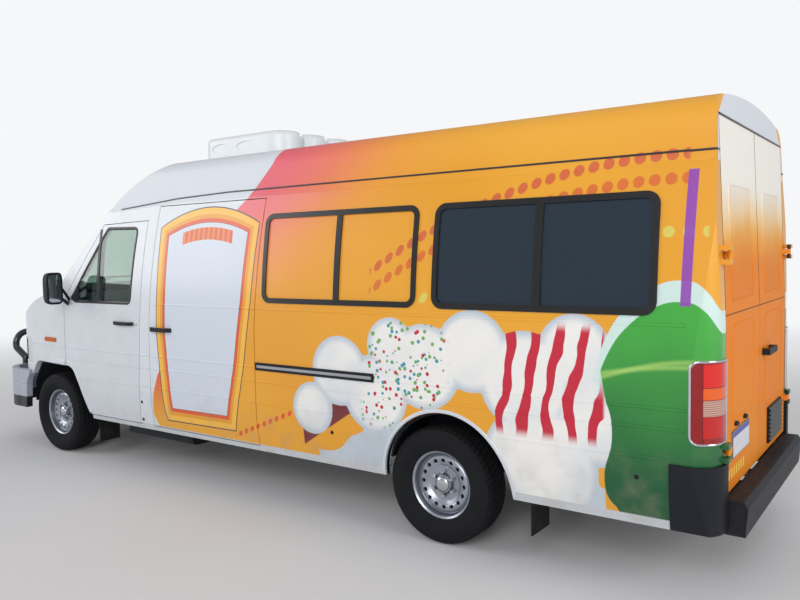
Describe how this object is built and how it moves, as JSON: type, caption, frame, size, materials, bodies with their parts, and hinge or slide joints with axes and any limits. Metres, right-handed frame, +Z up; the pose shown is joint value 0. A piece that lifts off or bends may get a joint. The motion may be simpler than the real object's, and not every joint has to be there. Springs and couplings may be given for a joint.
{
  "type": "ice cream truck",
  "caption": "Long high-roofed panel van fitted out as an ice cream truck, with a serving window, steering front wheels, opening cab and rear doors and an opening bonnet.",
  "frame": {"origin": "centre of the bounding box on the ground, under the truck", "axes": "+X forward, +Y to the truck's left, +Z up"},
  "size_m": [6.7359, 2.43, 2.65],
  "materials": {
    "body_paint": "gloss",
    "roof_paint": "gloss",
    "bumper_plastic": "satin",
    "black_plastic": "satin",
    "black_frame": "gloss",
    "bar_paint": "gloss",
    "clear_glass": "clear",
    "tinted_glass": "tinted",
    "lamp_lens": "gloss",
    "tail_lens": "gloss",
    "amber_lens": "gloss",
    "plate": "satin",
    "white_unit": "gloss",
    "frame_paint": "satin",
    "cast_iron": "rough",
    "spring_steel": "dull",
    "exhaust_steel": "dull",
    "wheel_paint": "satin",
    "tyre": "matt",
    "rubber": "matt",
    "floor_lining": "matt",
    "seat_fabric": "woven",
    "counter_steel": "brushed"
  },
  "bodies": {
    "truck": {"left_side_wall": "body_paint", "right_side_wall": "body_paint", "high_roof": "roof_paint", "cab_frame": "body_paint", "windscreen": "clear_glass", "front_fenders": "body_paint", "headlamps": "lamp_lens", "grille": "black_plastic", "front_bumper": "bumper_plastic", "nudge_bar": "bar_paint", "sliding_door": "body_paint", "sliding_door_rail_and_handle": "black_plastic", "side_window_frames": "black_frame", "forward_window_panes": "tinted_glass", "serving_window_glass": "tinted_glass", "tail_lamps": "tail_lens", "rear_corner_guards": "black_plastic", "side_marker_lamps": "amber_lens", "rear_step_bumper": "black_plastic", "roof_air_conditioner": "white_unit", "floor_pan": "floor_lining", "wheel_houses": "black_plastic", "chassis_frame": "frame_paint", "rear_axle": "cast_iron", "leaf_springs": "spring_steel", "propshaft_and_gearbox": "cast_iron", "engine": "cast_iron", "front_suspension": "frame_paint", "exhaust": "exhaust_steel", "fuel_tank": "black_plastic", "mud_flaps": "rubber", "dashboard": "black_plastic", "steering_wheel": "black_plastic", "cab_seats": "seat_fabric", "serving_counter": "counter_steel", "soft_serve_machine": "counter_steel"},
    "bonnet": {"bonnet": "body_paint"},
    "left_front_door": {"left_front_door": "body_paint", "left_door_glass": "clear_glass", "left_door_mirror_and_handle": "black_plastic"},
    "right_front_door": {"right_front_door": "body_paint", "right_door_glass": "clear_glass", "right_door_mirror_and_handle": "black_plastic"},
    "left_rear_door": {"left_rear_door": "body_paint", "number_plate": "plate"},
    "right_rear_door": {"right_rear_door": "body_paint", "rear_door_vent_and_handle": "black_plastic"},
    "left_knuckle": {"left_steering_knuckle": "cast_iron"},
    "right_knuckle": {"right_steering_knuckle": "cast_iron"},
    "front_left_wheel": {"front_left_wheel": "wheel_paint", "front_left_tyre": "tyre"},
    "front_right_wheel": {"front_right_wheel": "wheel_paint", "front_right_tyre": "tyre"},
    "rear_left_wheel": {"rear_left_wheel": "wheel_paint", "rear_left_tyre": "tyre"},
    "rear_right_wheel": {"rear_right_wheel": "wheel_paint", "rear_right_tyre": "tyre"}
  },
  "joints": [
    {"name": "bonnet_hinge", "type": "hinge", "parent": "truck", "child": "bonnet", "pos_m": [2.433, 0, 1.446], "axis": [0, -1, 0], "range_deg": [0, 60]},
    {"name": "left_front_door_hinge", "type": "hinge", "parent": "truck", "child": "left_front_door", "pos_m": [2.062, 0.966, 0.9], "axis": [0, 0, -1], "range_deg": [0, 70]},
    {"name": "right_front_door_hinge", "type": "hinge", "parent": "truck", "child": "right_front_door", "pos_m": [2.062, -0.966, 0.9], "axis": [0, 0, 1], "range_deg": [0, 70]},
    {"name": "left_rear_door_hinge", "type": "hinge", "parent": "truck", "child": "left_rear_door", "pos_m": [-3.281, 0.8, 1.2], "axis": [0, 0, -1], "range_deg": [0, 180]},
    {"name": "right_rear_door_hinge", "type": "hinge", "parent": "truck", "child": "right_rear_door", "pos_m": [-3.281, -0.8, 1.2], "axis": [0, 0, 1], "range_deg": [0, 180]},
    {"name": "left_steering", "type": "hinge", "parent": "truck", "child": "left_knuckle", "pos_m": [2.312, 0.655, 0.347], "axis": [0, 0, 1], "range_deg": [-35, 35]},
    {"name": "right_steering", "type": "hinge", "parent": "truck", "child": "right_knuckle", "pos_m": [2.312, -0.655, 0.347], "axis": [0, 0, 1], "range_deg": [-35, 35]},
    {"name": "front_left_wheel_spin", "type": "hinge", "parent": "left_knuckle", "child": "front_left_wheel", "pos_m": [2.312, 0.815, 0.347], "axis": [0, 1, 0], "continuous": true},
    {"name": "front_right_wheel_spin", "type": "hinge", "parent": "right_knuckle", "child": "front_right_wheel", "pos_m": [2.312, -0.815, 0.347], "axis": [0, 1, 0], "continuous": true},
    {"name": "rear_left_wheel_spin", "type": "hinge", "parent": "truck", "child": "rear_left_wheel", "pos_m": [-1.713, 0.815, 0.347], "axis": [0, 1, 0], "continuous": true},
    {"name": "rear_right_wheel_spin", "type": "hinge", "parent": "truck", "child": "rear_right_wheel", "pos_m": [-1.713, -0.815, 0.347], "axis": [0, 1, 0], "continuous": true}
  ],
  "couplings": [
    {"joint": "right_steering", "follows": "left_steering", "ratio": 1}
  ]
}
